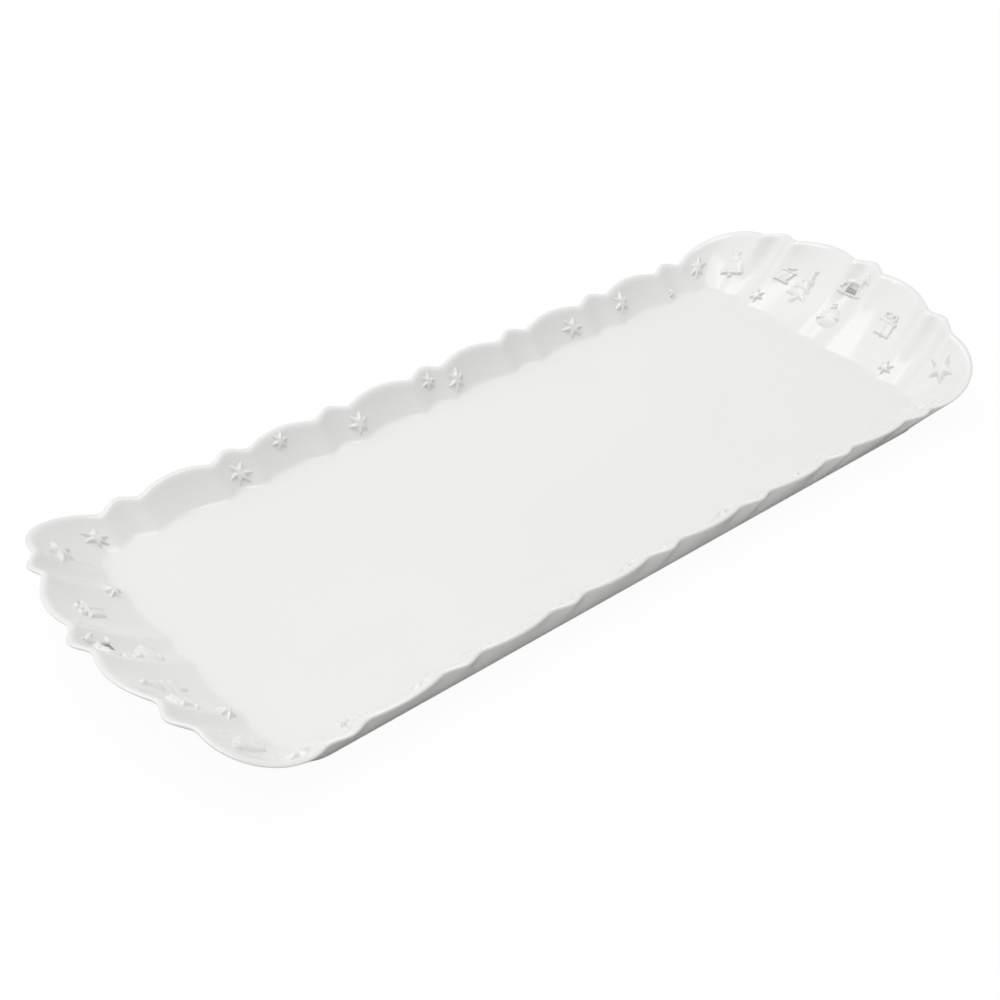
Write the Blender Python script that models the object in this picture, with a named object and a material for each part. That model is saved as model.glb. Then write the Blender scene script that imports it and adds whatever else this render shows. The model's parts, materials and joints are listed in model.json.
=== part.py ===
"""White porcelain serving platter: a long fluted tray with low side walls and tall end walls.

One fired body with an unglazed foot ring and small raised ornaments on its inner walls.
Metres, +Z up, standing on z = 0, +X along the platter.
"""
import math

import bmesh
import bpy
from mathutils import Vector

# Overall sizes
PLATTER_LENGTH = 0.395          # over the middle tips of the two end walls
PLATTER_WIDTH = 0.148           # over the outermost notches of the two side walls
SIDE_RIM_HEIGHT = 0.0165        # table to a rim notch, middle of a side wall
CORNER_RIM_HEIGHT = 0.0142      # table to the rim notch where a side wall ends
END_CORNER_HEIGHT = 0.0271      # table to the rim notch where an end wall starts
END_RIM_HEIGHT = 0.0312         # table to the rim in the middle of an end wall

# Wall sections
FLOOR_THICKNESS = 0.0042
RIM_THICKNESS = 0.0030
LIP_ROUND = 0.0008              # how far the two rim edges lie below the rim's top
SIDE_FLARE_MIDDLE = 0.0120      # plan distance, floor edge to outer rim edge
SIDE_FLARE_CORNER = 0.0141
END_FLARE_MIDDLE = 0.0360
END_FLARE_CORNER = 0.0255
SIDE_FLARE_EASE = 2             # powers: how late a wall changes towards its corner
SIDE_HEIGHT_EASE = 5
END_FLARE_EASE = 1.4
END_HEIGHT_EASE = 2
WALL_HOLLOW = 0.045             # how far a wall stands behind its chord half way up, as a share of it
END_WALL_BULGE = 0.027          # the same for the outer face of an end wall, a side wall's is straight
FLOOR_FILLET = 0.0022
SIDE_BASE_STEP = 0.0070         # side base line outside the floor notches
END_BASE_STEP = 0.0014
BASE_CORNER_RADIUS = 0.0160

# Foot
FOOT_HEIGHT = 0.0014
FOOT_WIDTH = 0.0042
FOOT_INSET = 0.0004
FOOT_EDGE = 0.0004

# Lobes: narrow pointed ones alternate with wide round ones, and one large lobe turns each corner
WIDE_LOBES_SIDE = 6
WIDE_LOBES_END = 2
NARROW_TO_WIDE = 0.577
CORNER_RUN_SIDE = 0.0088        # floor corner to the last notch, along the side wall
CORNER_RUN_END = 0.0057
RIM_BULGE_SIDE = 0.0031
RIM_BULGE_END = 0.0037
FLOOR_BULGE_SIDE = 0.0033
FLOOR_BULGE_END = 0.0020
CORNER_RIM_BULGE = 0.0117
CORNER_FLOOR_BULGE = 0.0028
SIDE_LOBE_RISE = 0.0014
END_LOBE_RISE = 0.0004
STEPS_WIDE = 8
STEPS_NARROW = 6
STEPS_CORNER = 12
WALL_SHARES = (0.25, 0.5, 0.75)  # places up a wall's faces with an edge of their own

# Ornaments
GAP = 0.0003                    # between two pieces that touch
ORNAMENT_LIFT = 0.00048         # an ornament's flat back off the wall, which curves up toward it
SLOPE_STEP = 1e-5               # spacing for reading a wall's slope
RELIEF = 0.0009                 # height of an ornament's edge
STAR_RIDGE = 0.0007             # extra height at a star's centre
RELIEF_BEVEL = 0.0004
LARGE_STAR = 0.0049             # radius
SMALL_STAR = 0.0040
TINY_STAR = 0.0024
TOY = 0.0066                    # half height of a toy ornament

GLAZE_COLOUR = (0.90, 0.90, 0.885)
BISQUE_COLOUR = (0.86, 0.84, 0.80)

floor_top = FOOT_HEIGHT + FLOOR_THICKNESS
floor_half_x = PLATTER_LENGTH / 2 - END_FLARE_MIDDLE - RIM_BULGE_END
floor_half_y = PLATTER_WIDTH / 2 - SIDE_FLARE_CORNER
side_half = floor_half_x - CORNER_RUN_SIDE
end_half = floor_half_y - CORNER_RUN_END


def lobe_row(wide_count, half_length):
    """Centres, half widths and kinds of the lobes along one wall, narrow ones first and last."""
    wide = 2 * half_length / (wide_count + (wide_count + 1) * NARROW_TO_WIDE)
    narrow = wide * NARROW_TO_WIDE
    row, edge = [], -half_length
    for index in range(2 * wide_count + 1):
        width = narrow if index % 2 == 0 else wide
        row.append((edge + width / 2, width / 2, "narrow" if index % 2 == 0 else "wide"))
        edge += width
    return row


side_lobes = lobe_row(WIDE_LOBES_SIDE, side_half)
end_lobes = lobe_row(WIDE_LOBES_END, end_half)
side_pitch = side_lobes[2][0] - side_lobes[0][0]
end_pitch = end_lobes[2][0] - end_lobes[0][0]


def lobe_shape(kind, t):
    """Outward share of a lobe at t from -1 to 1: a rounded point or a round arc."""
    return math.cos(math.pi * t / 2) ** 2 if kind == "narrow" else 1 - t * t


def bulge_at(row, along):
    """The lobe share at a place along a wall."""
    centre, half, kind = min(row, key=lambda lobe: abs(along - lobe[0]) / lobe[1])
    return lobe_shape(kind, max(-1, min(1, (along - centre) / half)))


def side_station(x):
    """Floor edge, outer rim edge and outward direction of the +Y side wall at x."""
    share, reach = bulge_at(side_lobes, x), abs(x) / side_half
    flare = SIDE_FLARE_MIDDLE + (SIDE_FLARE_CORNER - SIDE_FLARE_MIDDLE) * reach ** SIDE_FLARE_EASE
    height = SIDE_RIM_HEIGHT + (CORNER_RIM_HEIGHT - SIDE_RIM_HEIGHT) * reach ** SIDE_HEIGHT_EASE
    floor = Vector((x, floor_half_y + FLOOR_BULGE_SIDE * share, floor_top))
    rim = Vector((x, floor_half_y + flare + RIM_BULGE_SIDE * share, height + SIDE_LOBE_RISE * share))
    return floor, rim, Vector((0, 1, 0))


def end_station(y):
    """The same for the +X end wall at y."""
    share, reach = bulge_at(end_lobes, y), abs(y) / end_half
    flare = END_FLARE_MIDDLE + (END_FLARE_CORNER - END_FLARE_MIDDLE) * reach ** END_FLARE_EASE
    height = END_RIM_HEIGHT + (END_CORNER_HEIGHT - END_RIM_HEIGHT) * reach ** END_HEIGHT_EASE
    floor = Vector((floor_half_x + FLOOR_BULGE_END * share, y, floor_top))
    rim = Vector((floor_half_x + flare + RIM_BULGE_END * share, y, height + END_LOBE_RISE * share))
    return floor, rim, Vector((1, 0, 0))


def arc_between(start, end, sagitta, t):
    """A point on the arc over a chord in plan, bulging to the left of end to start, t from -1 to 1."""
    chord = (end - start).xy
    radius = (chord.length_squared / 4 + sagitta ** 2) / (2 * sagitta)
    sweep = math.atan2(chord.length / 2, radius - sagitta) * t
    along = chord.normalized()
    outward = Vector((-along.y, along.x))
    middle = (start.xy + end.xy) / 2
    return middle + along * radius * math.sin(sweep) + outward * (radius * math.cos(sweep) - radius + sagitta)


def corner_station(t):
    """The corner lobe between the +Y side wall (t = -1) and the +X end wall (t = 1)."""
    side_floor, side_rim, side_out = side_station(side_half)
    end_floor, end_rim, end_out = end_station(end_half)
    turn = (t + 1) / 2
    ease = (turn + turn * turn * (3 - 2 * turn)) / 2
    floor = arc_between(side_floor, end_floor, CORNER_FLOOR_BULGE, t)
    rim = arc_between(side_rim, end_rim, CORNER_RIM_BULGE, t)
    height = side_rim.z + (end_rim.z - side_rim.z) * ease
    angle = turn * math.pi / 2
    outward = Vector((math.sin(angle), math.cos(angle), 0))
    return floor.to_3d() + Vector((0, 0, floor_top)), rim.to_3d() + Vector((0, 0, height)), outward


def row_places(row):
    """Places along a wall, closer together on the narrow lobes, each notch once."""
    places = []
    for centre, half, kind in row:
        steps = STEPS_NARROW if kind == "narrow" else STEPS_WIDE
        places += [centre - half + 2 * half * step / steps for step in range(steps)]
    return places


def quarter_stations():
    """Stations from the middle of the +Y side wall round to the middle of the +X end wall."""
    side = [side_station(x) for x in row_places(side_lobes) if x >= -GAP]
    corner = [corner_station(2 * step / STEPS_CORNER - 1) for step in range(STEPS_CORNER)]
    end = [end_station(-y) for y in row_places(end_lobes) if y <= GAP]
    return side + corner + end


def mirrored(station, flip_x, flip_y):
    flip = Vector((flip_x, flip_y, 1))
    return tuple(value * flip for value in station)


def ring_stations():
    """All stations once round, clockwise from above."""
    quarter = quarter_stations()
    right = quarter + [mirrored(s, 1, -1) for s in reversed(quarter[:-1])]
    return right + [mirrored(s, -1, 1) for s in reversed(right[1:-1])]


def inner_rim(rim, outward):
    return rim - outward * RIM_THICKNESS


def bowed_face(low, high, outward, bow, share):
    """A point at a share of the way up a wall's face, which stands outward of its chord."""
    rise = high - low
    behind = Vector((0, 0, 1)).cross(outward).cross(rise)
    return low + rise * share + behind * bow * 4 * share * (1 - share)


def base_point(floor, outward):
    """The point of the straight-sided base line under a station."""
    half_x, half_y = floor_half_x + END_BASE_STEP, floor_half_y + SIDE_BASE_STEP
    centre = Vector((half_x - BASE_CORNER_RADIUS, half_y - BASE_CORNER_RADIUS))
    reach = Vector((abs(floor.x), abs(floor.y)))
    if abs(outward.x) < 1 and abs(outward.y) < 1:
        plan = centre + Vector((abs(outward.x), abs(outward.y))) * BASE_CORNER_RADIUS
    elif abs(outward.y) == 1:
        plan = Vector((reach.x * centre.x / side_half, half_y))
    else:
        plan = Vector((half_x, reach.y * centre.y / end_half))
    return Vector((math.copysign(plan.x, floor.x), math.copysign(plan.y, floor.y), FOOT_HEIGHT))


def body_section(station):
    """One section of the wall, from the flat floor up over the lip and down to the base line."""
    floor, rim, outward = station
    inner, base = inner_rim(rim, outward), base_point(floor, outward)
    start = floor - outward * FLOOR_FILLET
    end = bowed_face(floor, inner, outward, WALL_HOLLOW, FLOOR_FILLET / (inner - floor).length)
    middle = start / 4 + floor / 2 + end / 4
    drop = Vector((0, 0, LIP_ROUND))
    bulge = END_WALL_BULGE * outward.x ** 2
    inner_face = [bowed_face(floor, inner, outward, WALL_HOLLOW, share) for share in WALL_SHARES]
    outer_face = [bowed_face(base, rim - drop, outward, bulge, share) for share in reversed(WALL_SHARES)]
    return [start, middle, end, *inner_face, inner - drop, (inner + rim) / 2, rim - drop, *outer_face, base]


def loft(rings, closed):
    """A solid through rings of equally many points: a closed tube of rings, or one with flat ends."""
    bm = bmesh.new()
    loops = [[bm.verts.new(point) for point in ring] for ring in rings]
    for first, second in zip(loops, loops[1:] + (loops[:1] if closed else [])):
        for index in range(len(first)):
            after = (index + 1) % len(first)
            bm.faces.new((first[index], first[after], second[after], second[index]))
    if not closed:
        bm.faces.new(reversed(loops[0]))
        bm.faces.new(loops[-1])
    bmesh.ops.recalc_face_normals(bm, faces=bm.faces)
    return bm


def add_object(name, bm, material, collection, smooth=True):
    """Turn a bmesh into a named object with one material."""
    mesh = bpy.data.meshes.new(name)
    bm.to_mesh(mesh)
    bm.free()
    mesh.materials.append(material)
    if smooth:
        mesh.shade_smooth()
        mesh.set_sharp_from_angle(angle=math.radians(35))
    piece = bpy.data.objects.new(name, mesh)
    collection.objects.link(piece)
    return piece


def make_body(collection, glaze):
    sections = [body_section(station) for station in ring_stations()]
    add_object("platter_body", loft(list(zip(*sections)), False), glaze, collection)


def rounded_rectangle(half_x, half_y, radius, steps=8):
    """Points round a rectangle with round corners, clockwise from above."""
    points = []
    for quadrant, (sign_x, sign_y) in enumerate(((1, 1), (1, -1), (-1, -1), (-1, 1))):
        centre = Vector((sign_x * (half_x - radius), sign_y * (half_y - radius)))
        for step in range(steps + 1):
            angle = math.pi / 2 * (1 - quadrant - step / steps)
            points.append(centre + Vector((math.cos(angle), math.sin(angle))) * radius)
    return points


def make_foot(collection, bisque):
    """A ring under the base line: a flat band with a bevelled standing face."""
    top, bottom = FOOT_HEIGHT - GAP, 0.0
    rings = []
    for inset, height in ((FOOT_INSET, top), (FOOT_INSET, FOOT_EDGE), (FOOT_INSET + FOOT_EDGE, bottom),
                          (FOOT_WIDTH - FOOT_EDGE, bottom), (FOOT_WIDTH, FOOT_EDGE), (FOOT_WIDTH, top)):
        plan = rounded_rectangle(floor_half_x + END_BASE_STEP - inset, floor_half_y + SIDE_BASE_STEP - inset,
                                 BASE_CORNER_RADIUS - inset)
        rings.append([Vector((point.x, point.y, height)) for point in plan])
    add_object("foot_ring", loft(rings, True), bisque, collection)


# Ornament outlines, in units of the ornament's half height, anticlockwise

def arc(centre_x, centre_y, radius, start, end, steps):
    """Points on an arc, angles in degrees."""
    angles = [math.radians(start + (end - start) * step / steps) for step in range(steps + 1)]
    return [(centre_x + radius * math.cos(a), centre_y + radius * math.sin(a)) for a in angles]


def star_outline(points, waist):
    return [((waist if i % 2 else 1) * math.sin(-math.pi * i / points),
             (waist if i % 2 else 1) * math.cos(math.pi * i / points)) for i in range(2 * points)]


def bell_outline():
    shoulder = arc(0, 0.35, 0.42, 0, 180, 8)
    clapper = arc(0, -0.72, 0.26, 200, 340, 5)
    return shoulder + [(-0.52, -0.30), (-0.80, -0.70)] + clapper + [(0.80, -0.70), (0.52, -0.30)]


def gift_outline():
    bow_left = arc(-0.38, 0.72, 0.28, 60, 270, 5)
    bow_right = arc(0.38, 0.72, 0.28, -90, 120, 5)
    return [(0, 0.62)] + bow_left + [(-0.72, 0.44), (-0.72, -0.95), (0.72, -0.95), (0.72, 0.44)] + bow_right


def drum_outline():
    return arc(0, -0.10, 0.95, 50, 130, 5) + arc(0, 0.10, 0.95, 230, 310, 5)


def bauble_outline():
    return [(0.20, 0.98), (-0.20, 0.98)] + arc(0, -0.16, 0.84, 104, 436, 16)


def tree_outline():
    right = [(0.85, -0.62), (0.42, -0.22), (0.66, -0.18), (0.30, 0.30), (0.46, 0.34), (0, 1)]
    left = [(-x, y) for x, y in reversed(right[:-1])]
    return [(-0.16, -0.62), (-0.16, -1.0), (0.16, -1.0), (0.16, -0.62)] + right + left


def horse_outline():
    rocker = arc(0, 0.55, 1.55, 232, 308, 8)
    legs_front = [(0.55, -0.62), (0.52, -0.10)]
    neck = [(0.66, 0.30), (0.98, 0.28), (1.06, 0.52), (0.66, 0.98), (0.50, 0.92), (0.24, 0.36)]
    back = [(-0.34, 0.24), (-0.66, 0.44), (-0.98, 0.02), (-0.90, -0.26), (-0.62, 0.02)]
    legs_rear = [(-0.50, -0.62)]
    return rocker + legs_front + neck + back + legs_rear


outlines = {
    "star": star_outline(6, 0.42),
    "broad_star": star_outline(5, 0.46),
    "bell": bell_outline(),
    "gift": gift_outline(),
    "drum": drum_outline(),
    "bauble": bauble_outline(),
    "tree": tree_outline(),
    "horse": horse_outline(),
}

# Ornament places: name, shape, size, place along the wall, share of the way up the wall, turn.
# Along a side or end wall the place is counted in lobe pitches from its middle,
# and round a corner it runs from -1 at the side wall to 1 at the end wall.
side_ornaments = (
    ("star_side_a", "star", LARGE_STAR, -1.97, 0.39, -0.45),
    ("star_side_b", "star", SMALL_STAR, -1.53, 0.72, -0.50),
    ("star_side_c", "star", LARGE_STAR, -0.80, 0.44, -0.45),
    ("star_side_d", "star", SMALL_STAR, 0.00, 0.63, -0.35),
    ("star_side_e", "star", LARGE_STAR, 0.26, 0.43, -0.45),
    ("star_side_f", "star", LARGE_STAR, 1.66, 0.40, -0.50),
    ("star_side_g", "star", LARGE_STAR, 2.30, 0.52, -0.40),
    ("star_side_h", "star", TINY_STAR, 2.89, 0.20, -0.30),
)
end_ornaments = (
    ("star_end_a", "star", SMALL_STAR, 0.81, 0.17, 0.3),
    ("drum_end", "drum", TOY * 0.70, 0.72, 0.56, -0.2),
    ("tree_end", "tree", TOY * 1.40, 0.46, 0.50, -0.1),
    ("horse_end", "horse", TOY, 0.01, 0.76, 0.1),
    ("bauble_end", "bauble", TOY, 0.04, 0.35, 0.3),
    ("gift_end", "gift", TOY * 0.95, -0.53, 0.57, 0.1),
    ("star_end_b", "star", SMALL_STAR, -0.81, 0.17, 0.1),
)
corner_ornaments = (
    ("star_corner", "star", LARGE_STAR, -0.54, 0.54, -0.3),
    ("bell_corner", "bell", TOY * 1.10, 0.70, 0.51, 0.2),
)
opposite_corner_ornaments = (
    ("star_corner", "star", LARGE_STAR, -0.62, 0.38, 0.45),
    ("broad_star_corner", "broad_star", TOY * 1.10, 0.68, 0.63, 0.3),
)


def wall_place(station_at, along, share, lift):
    """A point on a wall's inner face, lifted off it along its normal."""
    def on_wall(place, part):
        floor, rim, outward = station_at(place)
        return bowed_face(floor, inner_rim(rim, outward), outward, WALL_HOLLOW, part)

    point = on_wall(along, share)
    sideways = on_wall(along + SLOPE_STEP, share) - on_wall(along - SLOPE_STEP, share)
    upward = on_wall(along, share + SLOPE_STEP) - point
    normal = sideways.cross(upward).normalized()
    return point + normal * math.copysign(lift, normal.z)


def wall_height(station_at, along):
    floor, rim, outward = station_at(along)
    return (inner_rim(rim, outward) - floor).length


def flat_ornament(shape, size, turn):
    """A flat ornament with a raised centre or a bevelled edge, its back at zero height."""
    bm = bmesh.new()
    cos_turn, sin_turn = math.cos(turn), math.sin(turn)
    ring = [bm.verts.new(((x * cos_turn - y * sin_turn) * size, (x * sin_turn + y * cos_turn) * size, 0))
            for x, y in outlines[shape]]
    edges = [bm.edges.new(pair) for pair in zip(ring, ring[1:] + ring[:1])]
    bmesh.ops.contextual_create(bm, geom=edges)
    front = bmesh.ops.extrude_face_region(bm, geom=bm.faces[:])["geom"]
    bmesh.ops.translate(bm, verts=[v for v in front if isinstance(v, bmesh.types.BMVert)], vec=(0, 0, RELIEF))
    top = [f for f in front if isinstance(f, bmesh.types.BMFace)]
    if "star" in shape:
        ridge = bmesh.ops.poke(bm, faces=top)["verts"]
        bmesh.ops.translate(bm, verts=ridge, vec=(0, 0, STAR_RIDGE))
    else:
        bmesh.ops.bevel(bm, geom=[e for f in top for e in f.edges], offset=RELIEF_BEVEL, segments=1,
                        affect="EDGES", profile=0.5, material=-1, clamp_overlap=True)
    bmesh.ops.recalc_face_normals(bm, faces=bm.faces[:])
    bmesh.ops.triangulate(bm, faces=bm.faces[:])
    return bm


def corner_half_length():
    """Half the length of a corner lobe's inner face, half way up it."""
    steps = [corner_station(2 * step / STEPS_CORNER - 1) for step in range(STEPS_CORNER + 1)]
    middles = [floor.lerp(inner_rim(rim, outward), 0.5) for floor, rim, outward in steps]
    return sum((second - first).length for first, second in zip(middles, middles[1:])) / 2


def add_ornament(name, ornament, wall, flip, glaze, collection):
    """Drape a flat ornament over a wall's inner face, a gap above it."""
    shape, size, place, share, turn = ornament
    station_at, place_unit, length_unit = wall
    bm = flat_ornament(shape, size, turn)
    centre = place * place_unit
    height = wall_height(station_at, centre)
    for vert in bm.verts:
        draped = wall_place(station_at, centre + vert.co.x / length_unit, share + vert.co.y / height,
                            ORNAMENT_LIFT + vert.co.z)
        vert.co = draped * Vector((flip[0], flip[1], 1))
    if bm.calc_volume(signed=True) < 0:
        bmesh.ops.reverse_faces(bm, faces=bm.faces[:])
    add_object(name, bm, glaze, collection, smooth=False)


def make_ornaments(collection, glaze):
    """Side wall stars, end wall toys and corner ornaments, the same again after half a turn."""
    side_wall = (side_station, side_pitch, 1)
    end_wall = (end_station, end_pitch, -1)
    corner_wall = (corner_station, 1, corner_half_length())
    for tag, half_turn in (("far", 1), ("near", -1)):
        for name, *ornament in side_ornaments:
            add_ornament(f"{name}_{tag}", ornament, side_wall, (half_turn, half_turn), glaze, collection)
        for name, *ornament in end_ornaments:
            add_ornament(f"{name}_{tag}", ornament, end_wall, (half_turn, half_turn), glaze, collection)
        for places, side in ((corner_ornaments, 1), (opposite_corner_ornaments, -1)):
            for name, *ornament in places:
                label = f"{name}_{tag}_{'left' if side * half_turn < 0 else 'right'}"
                add_ornament(label, ornament, corner_wall, (half_turn * side, half_turn), glaze, collection)


def make_material(name, colour, roughness):
    material = bpy.data.materials.new(name)
    material.use_nodes = True
    shader = material.node_tree.nodes["Principled BSDF"]
    shader.inputs["Base Color"].default_value = (*colour, 1)
    shader.inputs["Roughness"].default_value = roughness
    shader.inputs["Metallic"].default_value = 0
    return material


def main():
    for old in list(bpy.data.objects):
        bpy.data.objects.remove(old, do_unlink=True)
    collection = bpy.data.collections.new("serving_platter")
    bpy.context.scene.collection.children.link(collection)
    glaze = make_material("glazed_porcelain", GLAZE_COLOUR, 0.12)
    bisque = make_material("unglazed_porcelain", BISQUE_COLOUR, 0.60)
    make_body(collection, glaze)
    make_foot(collection, bisque)
    make_ornaments(collection, glaze)


main()
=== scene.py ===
import bisect
import json
import math

import bmesh
import bpy
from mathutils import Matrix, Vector


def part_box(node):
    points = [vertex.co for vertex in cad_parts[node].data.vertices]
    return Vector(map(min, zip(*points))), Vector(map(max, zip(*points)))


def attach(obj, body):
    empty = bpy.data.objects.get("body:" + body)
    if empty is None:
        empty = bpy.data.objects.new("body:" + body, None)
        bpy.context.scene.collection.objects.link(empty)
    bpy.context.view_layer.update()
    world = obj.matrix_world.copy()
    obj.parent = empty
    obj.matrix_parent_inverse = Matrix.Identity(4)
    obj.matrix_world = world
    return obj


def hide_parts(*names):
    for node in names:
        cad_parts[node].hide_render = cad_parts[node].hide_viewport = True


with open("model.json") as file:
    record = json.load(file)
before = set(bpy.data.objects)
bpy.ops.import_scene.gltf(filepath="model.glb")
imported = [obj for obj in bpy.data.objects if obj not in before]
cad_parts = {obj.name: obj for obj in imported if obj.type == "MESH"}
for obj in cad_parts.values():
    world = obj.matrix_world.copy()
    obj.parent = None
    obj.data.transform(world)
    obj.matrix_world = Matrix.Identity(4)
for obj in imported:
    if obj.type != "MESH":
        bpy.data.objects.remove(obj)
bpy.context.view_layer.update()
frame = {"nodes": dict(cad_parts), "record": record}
bodyLow, bodyHigh = (Vector(corner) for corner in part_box("platter_body"))
footLow, footHigh = (Vector(corner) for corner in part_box("foot_ring"))
mounts = {mount["name"]: mount for mount in frame["record"]["mounts"]}
wellTop = mounts["well_floor"]["pos_m"][2]
print("frame loaded:", len(frame["nodes"]), "nodes")

# The fluted wall, in metres. Heights are above the table, flares run from the well's edge to the rim.
wall = {
    "sideFlareMiddle": 0.0120, "sideFlareCorner": 0.0141, "sideFlareEase": 2,
    "endFlareMiddle": 0.0360, "endFlareCorner": 0.0255, "endFlareEase": 1.4,
    "sideRim": 0.0165, "cornerRim": 0.0142, "sideRimEase": 5,
    "endRim": 0.0312, "endCornerRim": 0.0271, "endRimEase": 2,
    "wideSide": 6, "wideEnd": 2, "narrowToWide": 0.577,
    "cornerRunSide": 0.0088, "cornerRunEnd": 0.0057,
    "rimBulgeSide": 0.0031, "rimBulgeEnd": 0.0037,
    "wellBulgeSide": 0.0033, "wellBulgeEnd": 0.0020,
    "cornerRimBulge": 0.0117, "cornerWellBulge": 0.0028,
    "sideRise": 0.0014, "endRise": 0.0004,
    "hollow": 0.045, "endBulge": 0.027,              # how far a wall's two faces bow outward, over its slant
    "stepsNarrow": 24, "stepsWide": 40, "stepsCorner": 60, "softPasses": 4,
}
section = {
    "rimThickness": 0.0028, "lipCrest": 0.45, "lipInner": 0.0023, "lipOuter": 0.0015, "lipSteps": 7,
    "fillet": 0.0013, "filletSteps": 6, "innerSteps": 18, "outerSteps": 6,
    "wellInsets": (0.040, 0.024, 0.012, 0.005),      # rings in the flat of the well
    "sideBaseStep": 0.0070, "endBaseStep": 0.0014, "baseCorner": 0.0160, "baseRound": 0.0009,
    "baseRoundSteps": 4, "recessInsets": (0.0062, 0.0085), "recessDepth": 0.0006,
}
foot = {"inset": 0.0004, "width": 0.0042, "round": 0.0007, "roundSteps": 5, "sunk": 0.0003, "cornerSteps": 14}
weldDistance = 1e-7

wellHalfX = footHigh.x + foot["inset"] - section["endBaseStep"]
wellHalfY = footHigh.y + foot["inset"] - section["sideBaseStep"]
sideHalf = wellHalfX - wall["cornerRunSide"]
endHalf = wellHalfY - wall["cornerRunEnd"]


def lobeRow(wideCount, half):
    # narrow lobes stand between the wide ones and close the row at both ends
    wide = 2 * half / (wideCount + (wideCount + 1) * wall["narrowToWide"])
    row, edge = [], -half
    for index in range(2 * wideCount + 1):
        width = wide if index % 2 else wide * wall["narrowToWide"]
        row.append((edge + width / 2, width / 2, index % 2 == 0))
        edge += width
    return row


sideRow = lobeRow(wall["wideSide"], sideHalf)
endRow = lobeRow(wall["wideEnd"], endHalf)


def bulgeShare(row, along):
    centre, half, narrow = min(row, key=lambda lobe: abs(along - lobe[0]) / lobe[1])
    t = max(-1, min(1, (along - centre) / half))
    return math.cos(math.pi * t / 2) ** 2 if narrow else 1 - t * t


def sideStation(x):
    share, reach = bulgeShare(sideRow, x), abs(x) / sideHalf
    flare = wall["sideFlareMiddle"]
    flare += (wall["sideFlareCorner"] - flare) * reach ** wall["sideFlareEase"]
    height = wall["sideRim"] + (wall["cornerRim"] - wall["sideRim"]) * reach ** wall["sideRimEase"]
    edge = Vector((x, wellHalfY + wall["wellBulgeSide"] * share, wellTop))
    rim = Vector((x, wellHalfY + flare + wall["rimBulgeSide"] * share, height + wall["sideRise"] * share))
    return [edge, rim, Vector((0, 1, 0))]


def endStation(y):
    share, reach = bulgeShare(endRow, y), abs(y) / endHalf
    flare = wall["endFlareMiddle"]
    flare += (wall["endFlareCorner"] - flare) * reach ** wall["endFlareEase"]
    height = wall["endRim"] + (wall["endCornerRim"] - wall["endRim"]) * reach ** wall["endRimEase"]
    edge = Vector((wellHalfX + wall["wellBulgeEnd"] * share, y, wellTop))
    rim = Vector((wellHalfX + flare + wall["rimBulgeEnd"] * share, y, height + wall["endRise"] * share))
    return [edge, rim, Vector((1, 0, 0))]


def bowedChord(start, end, bow, t):
    # the place at t, -1 to 1, on an arc that stands out from a chord by bow
    chord = (end - start).xy
    radius = (chord.length_squared / 4 + bow ** 2) / (2 * bow)
    sweep = math.atan2(chord.length / 2, radius - bow) * t
    along = chord.normalized()
    outward = Vector((-along.y, along.x))
    place = (start.xy + end.xy) / 2 + along * radius * math.sin(sweep)
    return (place + outward * (radius * math.cos(sweep) - radius + bow)).to_3d()


def cornerStation(t):
    sideEdge, sideRim, _ = sideStation(sideHalf)
    endEdge, endRim, _ = endStation(endHalf)
    turn = (t + 1) / 2
    ease = (turn + turn * turn * (3 - 2 * turn)) / 2
    edge = bowedChord(sideEdge, endEdge, wall["cornerWellBulge"], t)
    rim = bowedChord(sideRim, endRim, wall["cornerRimBulge"], t)
    edge.z, rim.z = wellTop, sideRim.z + (endRim.z - sideRim.z) * ease
    angle = turn * math.pi / 2
    return [edge, rim, Vector((math.sin(angle), math.cos(angle), 0))]


def rowPlaces(row):
    places = []
    for centre, half, narrow in row:
        steps = wall["stepsNarrow"] if narrow else wall["stepsWide"]
        places += [centre - half + 2 * half * step / steps for step in range(steps)]
    return places


def softened(stations):
    # the clay and glaze round off the notches: each edge and rim place is averaged with its neighbours
    count = len(stations)
    for _ in range(wall["softPasses"]):
        stations = [[(stations[i - 1][part] + 2 * stations[i][part] + stations[(i + 1) % count][part]) / 4
                     for part in range(2)] + [stations[i][2]] for i in range(count)]
    return stations


def allStations():
    # once round the rim, clockwise from above, from the middle of the far side wall
    tiny = 1e-6
    quarter = [sideStation(x) for x in rowPlaces(sideRow) if x > -tiny]
    quarter += [cornerStation(2 * step / wall["stepsCorner"] - 1) for step in range(wall["stepsCorner"])]
    quarter += [endStation(-y) for y in rowPlaces(endRow) if y < tiny]
    flipY, flipX = Vector((1, -1, 1)), Vector((-1, 1, 1))
    right = quarter + [[v * flipY for v in station] for station in reversed(quarter[:-1])]
    return softened(right + [[v * flipX for v in station] for station in reversed(right[1:-1])])


def basePoint(station):
    # the straight-sided line where the outer wall meets the underside
    edge, _, outward = station
    halfX, halfY = wellHalfX + section["endBaseStep"], wellHalfY + section["sideBaseStep"]
    turnX, turnY = halfX - section["baseCorner"], halfY - section["baseCorner"]
    if abs(outward.y) == 1:
        plan = Vector((abs(edge.x) * turnX / sideHalf, halfY))
    elif abs(outward.x) == 1:
        plan = Vector((halfX, abs(edge.y) * turnY / endHalf))
    else:
        plan = Vector((turnX, turnY)) + Vector((abs(outward.x), abs(outward.y))) * section["baseCorner"]
    return Vector((math.copysign(plan.x, edge.x), math.copysign(plan.y, edge.y), bodyLow.z))


def bowedFace(low, high, outward, bow, share):
    # a place on a face that stands outward of its chord
    rise = high - low
    behind = Vector((0, 0, 1)).cross(outward).cross(rise)
    return low + rise * share + behind * bow * 4 * share * (1 - share)


def innerFace(station, share):
    edge, rim, outward = station
    return bowedFace(edge, rim - outward * section["rimThickness"], outward, wall["hollow"], share)


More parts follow.
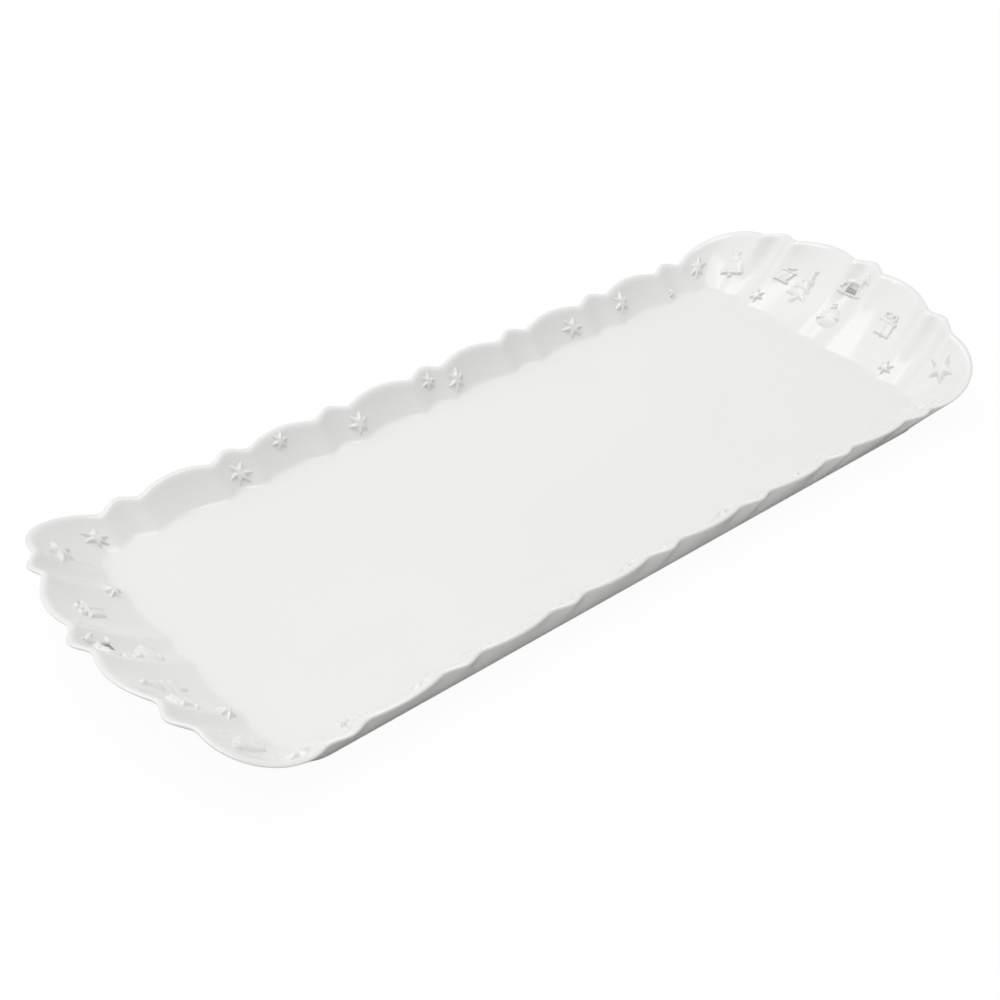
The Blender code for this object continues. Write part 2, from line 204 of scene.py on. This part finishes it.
def outerFace(station, share):
    _, rim, outward = station
    return bowedFace(basePoint(station), rim, outward, wall["endBulge"] * outward.x ** 2, share)


def spread(first, last, steps):
    # the shares between first and last, both left out
    return [first + (last - first) * step / steps for step in range(1, steps)]


def curve(start, corner, end, steps):
    # a soft corner from start to end, both included
    shares = [step / steps for step in range(steps + 1)]
    return [start.lerp(corner, t).lerp(corner.lerp(end, t), t) for t in shares]


def wallSection(station):
    # from the flat of the well, up the inner face, over the lip and down to the underside
    edge, rim, outward = station
    shoulder, corner = innerFace(station, 1), basePoint(station)
    innerLength, outerLength = (shoulder - edge).length, (rim - corner).length
    foldShare, topShare = section["fillet"] / innerLength, 1 - section["lipInner"] / innerLength
    baseShare, underShare = section["baseRound"] / outerLength, 1 - section["lipOuter"] / outerLength
    crest = shoulder.lerp(rim, section["lipCrest"])
    points = [Vector((edge.x * (1 - inset / wellHalfX), edge.y * (1 - inset / wellHalfY), wellTop))
              for inset in section["wellInsets"]]
    points += curve(edge - outward * section["fillet"], edge, innerFace(station, foldShare),
                    section["filletSteps"])
    points += [innerFace(station, share) for share in spread(foldShare, topShare, section["innerSteps"])]
    points += curve(innerFace(station, topShare), shoulder, crest, section["lipSteps"])
    points += curve(crest, rim, outerFace(station, underShare), section["lipSteps"])[1:]
    points += [outerFace(station, share) for share in spread(underShare, baseShare, section["outerSteps"])]
    points += curve(outerFace(station, baseShare), corner, corner - outward * section["baseRound"],
                    section["baseRoundSteps"])
    for inset, depth in zip(section["recessInsets"], (0, section["recessDepth"])):
        points.append(corner - outward * inset + Vector((0, 0, depth)))
    return points


def pullRing(bm, edges, mark, places):
    # extrude an open ring and lay the new one on the next places
    made = bmesh.ops.extrude_edge_only(bm, edges=edges)["geom"]
    verts = {item for item in made if isinstance(item, bmesh.types.BMVert)}
    for vert in verts:
        vert.co = places[vert[mark]]
    return [item for item in made if isinstance(item, bmesh.types.BMEdge) and set(item.verts) <= verts]


def ringLoft(rings, closed):
    bm = bmesh.new()
    bmesh.ops.create_circle(bm, segments=len(rings[0]), radius=1)
    mark = bm.verts.layers.int.new("station")
    bm.verts.ensure_lookup_table()
    for index, vert in enumerate(bm.verts):
        vert[mark] = index
        vert.co = rings[0][index]
    firstEdges = edges = bm.edges[:]
    for places in rings[1:]:
        edges = pullRing(bm, edges, mark, places)
    if closed:
        edges = pullRing(bm, edges, mark, rings[0])
        bmesh.ops.remove_doubles(bm, verts=bm.verts[:], dist=weldDistance)
    else:
        bmesh.ops.contextual_create(bm, geom=firstEdges)
        bmesh.ops.contextual_create(bm, geom=edges)
    bmesh.ops.recalc_face_normals(bm, faces=bm.faces[:])
    return bm


def addToScene(name, data):
    thing = bpy.data.objects.new(name, data)
    bpy.context.scene.collection.objects.link(thing)
    return thing


def finishedMesh(name, bm, material):
    mesh = bpy.data.meshes.new(name)
    bm.to_mesh(mesh)
    bm.free()
    mesh.materials.append(material)
    return mesh


def addPiece(name, bm, material, slot, *nodes):
    piece = addToScene(name, finishedMesh(name, bm, material))
    piece.data.shade_smooth()
    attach(piece, "root")
    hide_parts(*nodes)


def bodyMesh():
    sections = [wallSection(station) for station in ring]
    return ringLoft([list(places) for places in zip(*sections)], closed=False)


def roundedTrack(halfX, halfY, radius):
    # evenly spread places on a rectangle with round corners
    track = []
    for quadrant, (signX, signY) in enumerate(((1, 1), (1, -1), (-1, -1), (-1, 1))):
        centre = Vector((signX * (halfX - radius), signY * (halfY - radius), 0))
        for step in range(foot["cornerSteps"] + 1):
            angle = math.pi / 2 * (1 - quadrant - step / foot["cornerSteps"])
            track.append(centre + Vector((math.cos(angle), math.sin(angle), 0)) * radius)
    return track


def footMesh():
    # a low ring with softly ground edges, let a little into the body above it
    size, steps, rings = foot["round"], foot["roundSteps"], []
    top, width = bodyLow.z + foot["sunk"], foot["width"] - 2 * foot["inset"]
    profile = [(0, top)] + [(size * (1 - math.cos(a)), size * (1 - math.sin(a)))
                            for a in (math.pi / 2 * step / steps for step in range(steps + 1))]
    profile += [(width - inset, height) for inset, height in reversed(profile)]
    for inset, height in profile:
        cut = foot["inset"] + inset
        track = roundedTrack(wellHalfX + section["endBaseStep"] - cut,
                             wellHalfY + section["sideBaseStep"] - cut, section["baseCorner"] - cut)
        rings.append([place + Vector((0, 0, height)) for place in track])
    return ringLoft(rings, closed=True)


# Raised ornaments. Each shape is a few strokes in units of its half height: kind, numbers, height, edge.
shapes = {
    "star": [("star", (6, 0.46), 1.0, 0.22), ("disc", (0, 0, 0.20), 1.1, 0.20)],
    "broad": [("star", (5, 0.48), 1.25, 0.30), ("disc", (0, 0, 0.20), 1.3, 0.20)],
    "bell": [
        ("peak", (0, -0.62, 0.95, 1.15), 0.8, 0.35), ("disc", (0, 0.30, 0.40), 1.0, 0.30),
        ("bar", (-0.66, -0.56, 0.66, -0.56, 0.13), 1.0, 0.12), ("disc", (0, -0.80, 0.19), 0.9, 0.16),
        ("ring", (0, 0.84, 0.15, 0.07), 0.8, 0.07),
    ],
    "gift": [
        ("slab", (0, -0.34, 0.66, 0.52, 0.06), 0.75, 0.14),
        ("slab", (0, 0.26, 0.76, 0.14, 0.05), 0.95, 0.10), ("bar", (0, -0.82, 0, 0.34, 0.11), 1.15, 0.10),
        ("ring", (-0.30, 0.66, 0.20, 0.09), 1.0, 0.09), ("ring", (0.30, 0.66, 0.20, 0.09), 1.0, 0.09),
        ("disc", (0, 0.56, 0.14), 1.2, 0.12),
    ],
    "drum": [
        ("slab", (0, 0, 0.72, 0.56, 0.06), 0.7, 0.30), ("bar", (-0.74, 0.56, 0.74, 0.56, 0.13), 1.0, 0.12),
        ("bar", (-0.74, -0.56, 0.74, -0.56, 0.13), 1.0, 0.12),
        ("bar", (-0.7, 0.5, -0.35, -0.5, 0.05), 0.95, 0.05),
        ("bar", (-0.35, -0.5, 0, 0.5, 0.05), 0.95, 0.05), ("bar", (0, 0.5, 0.35, -0.5, 0.05), 0.95, 0.05),
        ("bar", (0.35, -0.5, 0.7, 0.5, 0.05), 0.95, 0.05),
        ("bar", (-0.5, 0.72, 0.4, 1.05, 0.07), 0.8, 0.07),
    ],
    "tree": [
        ("peak", (0, -0.66, 0.74, 0.10), 0.8, 0.26), ("peak", (0, -0.22, 0.58, 0.52), 1.0, 0.22),
        ("peak", (0, 0.20, 0.42, 0.92), 1.15, 0.18), ("slab", (0, -0.80, 0.13, 0.20, 0.03), 0.7, 0.10),
        ("disc", (0, 0.92, 0.13), 1.1, 0.12),
    ],
    "bauble": [
        ("disc", (0, -0.18, 0.78), 1.2, 0.70), ("bar", (-0.72, -0.18, 0.72, -0.18, 0.10), 1.35, 0.10),
        ("slab", (0, 0.66, 0.20, 0.12, 0.03), 0.9, 0.08), ("ring", (0, 0.90, 0.12, 0.05), 0.7, 0.05),
    ],
    "horse": [
        ("rocker", (0, 0.62, 1.50, 0.09, -0.52), 0.8, 0.09),
        ("bar", (-0.52, -0.70, -0.40, 0.05, 0.10), 0.8, 0.10),
        ("bar", (0.52, -0.70, 0.40, 0.05, 0.10), 0.8, 0.10),
        ("bar", (-0.40, 0.12, 0.38, 0.10, 0.27), 1.1, 0.25),
        ("bar", (0.42, 0.20, 0.66, 0.66, 0.17), 1.1, 0.17),
        ("bar", (0.68, 0.70, 0.96, 0.50, 0.13), 1.1, 0.13),
        ("bar", (0.60, 0.80, 0.58, 0.98, 0.06), 1.0, 0.06),
        ("bar", (-0.60, 0.22, -0.88, -0.20, 0.10), 0.9, 0.10),
        ("bar", (0.30, 0.34, 0.50, 0.80, 0.07), 1.3, 0.07),
        ("slab", (0, 0.30, 0.20, 0.10, 0.04), 1.35, 0.08),
    ],
}
# shape, half height and turn of each ornament, by the start of its node's name
ornaments = {
    "star_side_a": ("star", 0.0056, -0.45), "star_side_b": ("star", 0.0041, -0.50),
    "star_side_c": ("star", 0.0056, -0.45), "star_side_d": ("star", 0.0041, -0.35),
    "star_side_e": ("star", 0.0056, -0.45), "star_side_f": ("star", 0.0056, -0.50),
    "star_side_g": ("star", 0.0056, -0.40), "star_side_h": ("star", 0.0024, -0.30),
    "star_end_a": ("star", 0.0041, 0.3), "star_end_b": ("star", 0.0041, 0.1),
    "drum_end": ("drum", 0.0046, -0.2), "tree_end": ("tree", 0.0092, -0.1),
    "horse_end": ("horse", 0.0066, 0.1), "bauble_end": ("bauble", 0.0066, 0.3),
    "gift_end": ("gift", 0.0063, 0.1),
    "star_corner": ("star", 0.0056, -0.45), "bell_corner": ("bell", 0.0073, 0.2),
    "broad_star_corner": ("broad", 0.0073, 0.3),
}
relief = {
    "height": 0.0014, "reach": 1.3, "cells": 64, "keepBelow": 0.00012, "sideSlope": 0.7, "buried": 0.0006,
    "meltPasses": 4, "meltShare": 0.5,               # how far the glaze has rounded the moulded shapes
    "nudge": 0.0002,                                 # spacing for reading the wall's slope
}


def strokeDistance(kind, n, x, y):
    # distance from a stroke's outline, negative inside it
    if kind == "disc":
        return math.hypot(x - n[0], y - n[1]) - n[2]
    if kind == "ring":
        return abs(math.hypot(x - n[0], y - n[1]) - n[2]) - n[3]
    if kind == "rocker":
        return max(abs(math.hypot(x - n[0], y - n[1]) - n[2]) - n[3], y - n[4])
    if kind == "slab":
        overX, overY = abs(x - n[0]) - n[2] + n[4], abs(y - n[1]) - n[3] + n[4]
        return math.hypot(max(overX, 0), max(overY, 0)) + min(max(overX, overY), 0) - n[4]
    if kind == "bar":
        runX, runY = n[2] - n[0], n[3] - n[1]
        t = max(0, min(1, ((x - n[0]) * runX + (y - n[1]) * runY) / (runX ** 2 + runY ** 2)))
        return math.hypot(x - n[0] - runX * t, y - n[1] - runY * t) - n[4]
    if kind == "peak":
        baseY, halfWidth, topY = n[1:]
        length = math.hypot(halfWidth, topY - baseY)
        return max((abs(x - n[0]) * (topY - baseY) + (y - topY) * halfWidth) / length, baseY - y)
    sector = math.pi / n[0]
    bend = abs((math.atan2(x, y) + sector) % (2 * sector) - sector)
    radius = math.hypot(x, y)
    notchX, notchY = n[1] * math.cos(sector), n[1] * math.sin(sector)
    length = math.hypot(1 - notchX, notchY)
    return ((radius * math.cos(bend) - 1) * notchY + radius * math.sin(bend) * (1 - notchX)) / length


def reliefHeight(shape, size, x, y):
    best = -1
    for kind, numbers, height, edge in shapes[shape]:
        inside = -strokeDistance(kind, numbers, x, y)
        if inside < 0:
            best = max(best, inside * size * relief["sideSlope"])
        else:
            t = min(1, inside / edge)
            best = max(best, relief["height"] * height * (1 - (1 - t) ** 2))
    return best


def flatRelief(shape, size, turn):
    # a fine grid raised to the ornament's relief, cut to its outline and closed by a sunk back
    bm = bmesh.new()
    bmesh.ops.create_grid(bm, x_segments=relief["cells"], y_segments=relief["cells"], size=relief["reach"])
    for vert in bm.verts:
        vert.co.z = reliefHeight(shape, size, vert.co.x, vert.co.y)
    for _ in range(relief["meltPasses"]):
        bmesh.ops.smooth_vert(bm, verts=bm.verts[:], factor=relief["meltShare"], use_axis_z=True)
    outside = [face for face in bm.faces if max(v.co.z for v in face.verts) < -relief["keepBelow"]]
    bmesh.ops.delete(bm, geom=outside, context="FACES")
    rimEdges = [edge for edge in bm.edges if edge.is_boundary]
    made = bmesh.ops.extrude_edge_only(bm, edges=rimEdges)["geom"]
    back = {item for item in made if isinstance(item, bmesh.types.BMVert)}
    for vert in back:
        vert.co.z = -relief["buried"]
    bmesh.ops.contextual_create(bm, geom=[e for e in bm.edges if e.is_boundary])
    bmesh.ops.recalc_face_normals(bm, faces=bm.faces[:])
    cosTurn, sinTurn = math.cos(turn), math.sin(turn)
    for vert in bm.verts:
        x, y = vert.co.x * size, vert.co.y * size
        vert.co.x, vert.co.y = x * cosTurn - y * sinTurn, x * sinTurn + y * cosTurn
    return bm


def facePoint(run, share):
    # a place on the inner face: how far round the ring, and the share of the way up
    run %= ringLength
    index = bisect.bisect_right(ringRuns, run) - 1
    following = (index + 1) % len(ring)
    span = (ringRuns[index + 1] if index + 1 < len(ring) else ringLength) - ringRuns[index]
    t = (run - ringRuns[index]) / span
    return innerFace(ring[index], share).lerp(innerFace(ring[following], share), t)


def nearestPlace(point):
    best = None
    for run, station in zip(ringRuns, ring):
        edge, top = innerFace(station, 0), innerFace(station, 1)
        share = (point.z - edge.z) / (top.z - edge.z)
        gap = (edge.lerp(top, share) - point).length
        if best is None or gap < best[0]:
            best = (gap, run, share, (top - edge).length)
    return best[1:]


def drapeOnWall(bm, run, share, faceHeight):
    nudge = relief["nudge"]
    for vert in bm.verts:
        along, up = run + vert.co.x, share + vert.co.y / faceHeight
        place = facePoint(along, up)
        sideways = facePoint(along + nudge, up) - facePoint(along - nudge, up)
        upward = facePoint(along, up + nudge / faceHeight) - place
        vert.co = place + sideways.cross(upward).normalized() * vert.co.z


def makeOrnaments(material):
    for node in sorted(frame["nodes"]):
        kind = next((name for name in ornaments if node.startswith(name)), None)
        if kind is None:
            continue
        low, high = (Vector(corner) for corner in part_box(node))
        bm = flatRelief(*ornaments[kind])
        drapeOnWall(bm, *nearestPlace((low + high) / 2))
        addPiece(node + "_relief", bm, material, "glazed_porcelain", node)


# Looks
glaze = {
    "colour": (0.80, 0.80, 0.785, 1), "poolColour": (0.76, 0.77, 0.765, 1), "poolShare": 0.35,
    "cloudRange": (0.35, 0.65), "roughness": 0.11, "roughnessSpread": 0.02, "scales": (9, 60),
    "bump": (0.05, 0.0006), "ior": 1.5,
}
bare = {
    "colour": (0.70, 0.68, 0.63, 1), "grain": (0.55, 0.53, 0.49, 1), "grainRange": (0.4, 0.7),
    "roughness": 0.62, "roughnessSpread": 0.1, "scales": (40, 900), "bump": (0.4, 0.0001),
}
mottleRange = (0.3, 0.7)                             # the part of the noise that is used
studio = {
    "floorColour": (0.95, 0.95, 0.95, 1), "floorSize": 6.0, "floorDrop": 0.00015,
    "surround": (1, 1, 1, 1), "surroundStrength": 0.675,
    "floorGlow": 1.0, "floorGlowShare": 0.95, "bounceColour": (0.62, 0.62, 0.62, 1),
    "floorRoughness": (0.85, 0.95), "floorScales": (1, 8),
    "lights": (
        ("keyLight", (-0.95, 0.95, 1.5), 2.2, 11.5),
        ("overheadLight", (-0.05, 0.28, 1.95), 1.3, 11.5),
    ),
}
view = {
    "place": (-0.33165, -0.37065, 0.38440), "turn": (51.806, -0.972, -39.464), "lens": 57.75, "sensor": 36,
}


def linkNodes(tree, *pairs):
    for output, target in pairs:
        tree.links.new(output, target)


def mottleGroup():
    # slow and fine variation shared by the glaze, the bare clay and the table
    group = bpy.data.node_groups.new("clayMottle", "ShaderNodeTree")
    for name in ("Slow Scale", "Fine Scale"):
        group.interface.new_socket(name=name, in_out="INPUT", socket_type="NodeSocketFloat")
    for name in ("Slow", "Fine"):
        group.interface.new_socket(name=name, in_out="OUTPUT", socket_type="NodeSocketFloat")
    nodes = group.nodes
    given, result = nodes.new("NodeGroupInput"), nodes.new("NodeGroupOutput")
    where = nodes.new("ShaderNodeTexCoord")
    for name, detail in (("Slow", 2), ("Fine", 5)):
        noise = nodes.new("ShaderNodeTexNoise")
        noise.inputs["Detail"].default_value = detail
        linkNodes(group, (where.outputs["Object"], noise.inputs["Vector"]),
                  (given.outputs[name + " Scale"], noise.inputs["Scale"]),
                  (noise.outputs["Fac"], result.inputs[name]))
    return group


def startMaterial(name, mottle, scales):
    material = bpy.data.materials.new(name)
    material.use_nodes = True
    tree = material.node_tree
    group = tree.nodes.new("ShaderNodeGroup")
    group.node_tree = mottle
    group.inputs["Slow Scale"].default_value, group.inputs["Fine Scale"].default_value = scales
    return material, tree, group, tree.nodes["Principled BSDF"]


def mapRange(tree, source, low, high, toLow, toHigh):
    node = tree.nodes.new("ShaderNodeMapRange")
    for socket, value in (("From Min", low), ("From Max", high), ("To Min", toLow), ("To Max", toHigh)):
        node.inputs[socket].default_value = value
    tree.links.new(source, node.inputs["Value"])
    return node.outputs["Result"]


def mixColours(tree, factor, first, second):
    node = tree.nodes.new("ShaderNodeMix")
    node.data_type = "RGBA"
    node.inputs["A"].default_value, node.inputs["B"].default_value = first, second
    tree.links.new(factor, node.inputs["Factor"])
    return node.outputs["Result"]


def variedRoughness(tree, source, shader, clay):
    low, high = clay["roughness"] - clay["roughnessSpread"], clay["roughness"] + clay["roughnessSpread"]
    tree.links.new(mapRange(tree, source, *mottleRange, low, high), shader.inputs["Roughness"])


def addBump(tree, source, shader, clay):
    bump = tree.nodes.new("ShaderNodeBump")
    bump.inputs["Strength"].default_value, bump.inputs["Distance"].default_value = clay["bump"]
    linkNodes(tree, (source, bump.inputs["Height"]), (bump.outputs["Normal"], shader.inputs["Normal"]))


def glazeMaterial(mottle):
    # clear gloss that pools a little cooler in soft clouds
    material, tree, group, shader = startMaterial("glazedPorcelain", mottle, glaze["scales"])
    cloud = mapRange(tree, group.outputs["Slow"], *glaze["cloudRange"], 0, glaze["poolShare"])
    colour = mixColours(tree, cloud, glaze["colour"], glaze["poolColour"])
    tree.links.new(colour, shader.inputs["Base Color"])
    variedRoughness(tree, group.outputs["Fine"], shader, glaze)
    addBump(tree, group.outputs["Slow"], shader, glaze)
    shader.inputs["IOR"].default_value = glaze["ior"]
    return material


def bareMaterial(mottle):
    # ground clay with a fine dark grain
    material, tree, group, shader = startMaterial("bareFoot", mottle, bare["scales"])
    grain = mapRange(tree, group.outputs["Fine"], *bare["grainRange"], 0, 1)
    tree.links.new(mixColours(tree, grain, bare["colour"], bare["grain"]), shader.inputs["Base Color"])
    variedRoughness(tree, group.outputs["Slow"], shader, bare)
    addBump(tree, group.outputs["Fine"], shader, bare)
    return material


def makeFloor(mottle):
    # a lit white table to look at, and a greyer one for the light that it throws back on the platter
    material, tree, group, shader = startMaterial("studioFloor", mottle, studio["floorScales"])
    shader.inputs["Base Color"].default_value = studio["floorColour"]
    roughness = mapRange(tree, group.outputs["Slow"], *mottleRange, *studio["floorRoughness"])
    tree.links.new(roughness, shader.inputs["Roughness"])
    glow, bounce = tree.nodes.new("ShaderNodeEmission"), tree.nodes.new("ShaderNodeBsdfDiffuse")
    glow.inputs["Strength"].default_value = studio["floorGlow"]
    bounce.inputs["Color"].default_value = studio["bounceColour"]
    seen, lit, path = (tree.nodes.new(kind) for kind in ("ShaderNodeMixShader", "ShaderNodeMixShader",
                                                         "ShaderNodeLightPath"))
    seen.inputs["Fac"].default_value = studio["floorGlowShare"]
    linkNodes(tree, (shader.outputs["BSDF"], seen.inputs[1]), (glow.outputs["Emission"], seen.inputs[2]),
              (path.outputs["Is Camera Ray"], lit.inputs["Fac"]), (bounce.outputs["BSDF"], lit.inputs[1]),
              (seen.outputs["Shader"], lit.inputs[2]),
              (lit.outputs["Shader"], tree.nodes["Material Output"].inputs["Surface"]))
    bm = bmesh.new()
    bmesh.ops.create_grid(bm, x_segments=1, y_segments=1, size=studio["floorSize"])
    # just under the foot, so that the two faces don't share a plane
    bmesh.ops.translate(bm, verts=bm.verts[:], vec=(0, 0, -studio["floorDrop"]))
    floor = addToScene("studioFloor", finishedMesh("studioFloor", bm, material))


def makeLights():
    world = bpy.data.worlds.new("softSurround")
    world.use_nodes = True
    surround = world.node_tree.nodes["Background"]
    surround.inputs["Color"].default_value = studio["surround"]
    path = world.node_tree.nodes.new("ShaderNodeLightPath")
    strength = mapRange(world.node_tree, path.outputs["Is Camera Ray"], 0, 1, studio["surroundStrength"], 1)
    world.node_tree.links.new(strength, surround.inputs["Strength"])
    bpy.context.scene.world = world
    for name, place, size, power in studio["lights"]:
        data = bpy.data.lights.new(name, "AREA")
        data.size, data.energy = size, power
        light = addToScene(name, data)
        light.location = place
        light.rotation_euler = (-Vector(place)).to_track_quat("-Z", "Y").to_euler()


def makeCamera():
    data = bpy.data.cameras.new("camera")
    data.lens, data.sensor_width = view["lens"], view["sensor"]
    camera = addToScene("camera", data)
    camera.location = view["place"]
    camera.rotation_euler = [math.radians(angle) for angle in view["turn"]]
    bpy.context.scene.camera = camera
    bpy.context.scene.view_settings.view_transform = "Standard"


ring = allStations()
middles = [innerFace(station, 0.5) for station in ring]
ringRuns = [0]
for first, second in zip(middles, middles[1:]):
    ringRuns.append(ringRuns[-1] + (second - first).length)
ringLength = ringRuns[-1] + (middles[0] - middles[-1]).length
print("rim laid out:", len(ring), "stations,", round(ringLength, 3), "m round")

mottle = mottleGroup()
glazed = glazeMaterial(mottle)
addPiece("glazedBody", bodyMesh(), glazed, "glazed_porcelain", "platter_body")
print("body made")
addPiece("bareFoot", footMesh(), bareMaterial(mottle), "unglazed_porcelain", "foot_ring")
print("foot made")
makeOrnaments(glazed)
print("ornaments made")
makeFloor(mottle)
makeLights()
makeCamera()
print("studio set")
